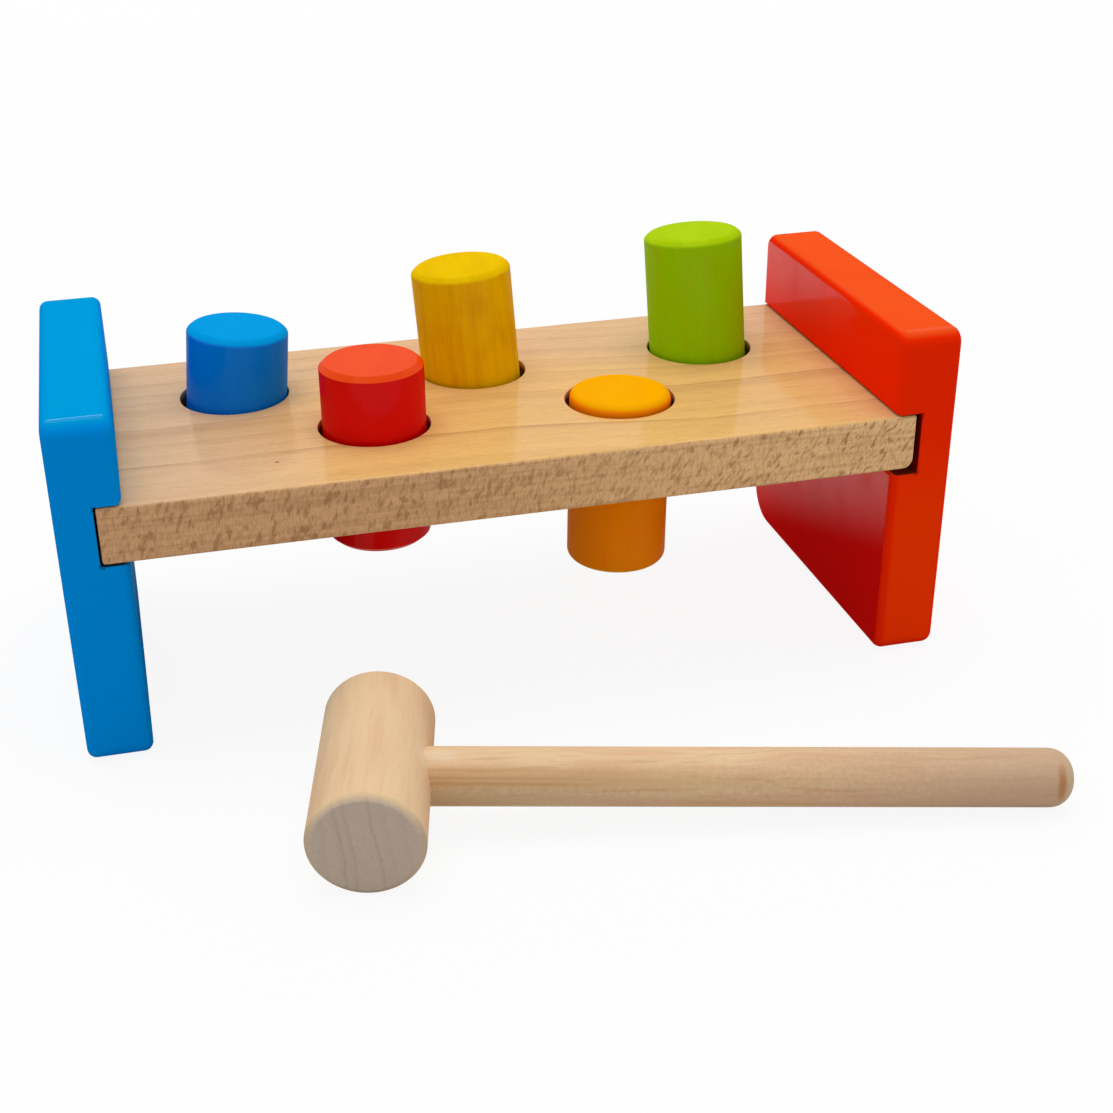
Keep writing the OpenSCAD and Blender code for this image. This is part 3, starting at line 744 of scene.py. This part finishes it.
def dress_all():
    for name, look in LACQUERS.items():
        dress(name, lacquer(name, **look))
    for name, look in PEGS.items():
        dress(name, stained_peg(name, **look))
    dress("bench_board", beech_board("varnished beech"))
    dress("mallet_head", turned_wood("mallet head wood", box_middle("mallet_head"),
                                     (0, 0, HEAD_TURN), BACK, HEAD_MARKS, HEAD_CONTRAST,
                                     shaded_rim=True))
    dress("mallet_handle", turned_wood("mallet handle wood", box_middle("mallet_handle"),
                                       (0, HANDLE_SLOPE, HANDLE_TURN), RIGHT, HANDLE_MARKS))
    ring_rubber = rubber("ring rubber")
    dowel_wood = turned_wood("dowel wood", (0, 0, 0), (0, 0, 0), RIGHT)
    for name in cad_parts:
        if name.endswith("ring"):
            dress(name, ring_rubber)
        elif name.endswith("dowel"):
            dress(name, dowel_wood)


def make_camera():
    data = bpy.data.cameras.new("camera")
    data.lens = LENS_MM
    data.sensor_width = SENSOR_MM
    data.sensor_fit = "HORIZONTAL"
    data.shift_x, data.shift_y = LENS_SHIFT
    data.clip_start = NEAREST_SEEN
    camera = bpy.data.objects.new("camera", data)
    bpy.context.scene.collection.objects.link(camera)
    turn = Matrix()
    for angle, axis in ((-CAMERA_YAW, "Z"), (90 - CAMERA_PITCH, "X"), (CAMERA_ROLL, "Z")):
        turn = turn @ Matrix.Rotation(math.radians(angle), 4, axis)
    camera.matrix_world = Matrix.Translation(CAMERA_PLACE) @ turn
    bpy.context.scene.camera = camera


def seen_as_white(tree):
    """1 for rays from the camera and from shiny or clear surfaces, 0 for the light itself."""
    rays = [add(tree, "ShaderNodeLightPath", None, name)
            for name in ("Is Camera Ray", "Is Glossy Ray", "Is Transmission Ray")]
    return maths("MAXIMUM", maths("MAXIMUM", rays[0], rays[1]), rays[2])


def make_floor():
    bpy.ops.object.select_all(action="DESELECT")
    bpy.ops.mesh.primitive_plane_add(size=FLOOR_SIDE, location=(0, 0, 0))
    floor = bpy.context.object
    floor.name = "floor"
    made, tree, shader = new_material("pale floor")
    seen = seen_as_white(tree)
    finish_shader(shader, mix(seen, FLOOR_BOUNCE, FLOOR_LOOK), FLOOR_ROUGH)
    white = add(tree, "ShaderNodeEmission", None, Color=WHITE, Strength=1.0)
    share = FLOOR_WHITE + (1 - FLOOR_WHITE) * smooth(length_of(place_on(tree)), *ALL_WHITE)
    look = add(tree, "ShaderNodeMixShader", None, i0=seen * share,
               i1=Socket(shader.outputs[0]), i2=white)
    tree.links.new(look.link, tree.nodes["Material Output"].inputs["Surface"])
    floor.data.materials.append(made)


def make_world():
    world = bpy.data.worlds.new("studio")
    world.use_nodes = True
    tree = world.node_tree
    light = add(tree, "ShaderNodeBackground", None, Color=WHITE, Strength=WORLD_LIGHT)
    white = add(tree, "ShaderNodeBackground", None, Color=WHITE, Strength=1.0)
    look = add(tree, "ShaderNodeMixShader", None, i0=seen_as_white(tree), i1=light, i2=white)
    tree.links.new(look.link, tree.nodes["World Output"].inputs["Surface"])
    bpy.context.scene.world = world


def make_lamps():
    for name, look in LAMPS.items():
        lamp = bpy.data.lights.new(name, "AREA")
        lamp.shape = "RECTANGLE"
        lamp.size, lamp.size_y = look["size"]
        lamp.energy = look["watts"]
        holder = bpy.data.objects.new(name, lamp)
        bpy.context.scene.collection.objects.link(holder)
        holder.location = look["place"]
        holder.rotation_euler = (-Vector(look["place"])).to_track_quat("-Z", "Y").to_euler()


bpy.context.scene.view_settings.view_transform = "Standard"
make_camera()
make_floor()
make_world()
make_lamps()
dress_all()
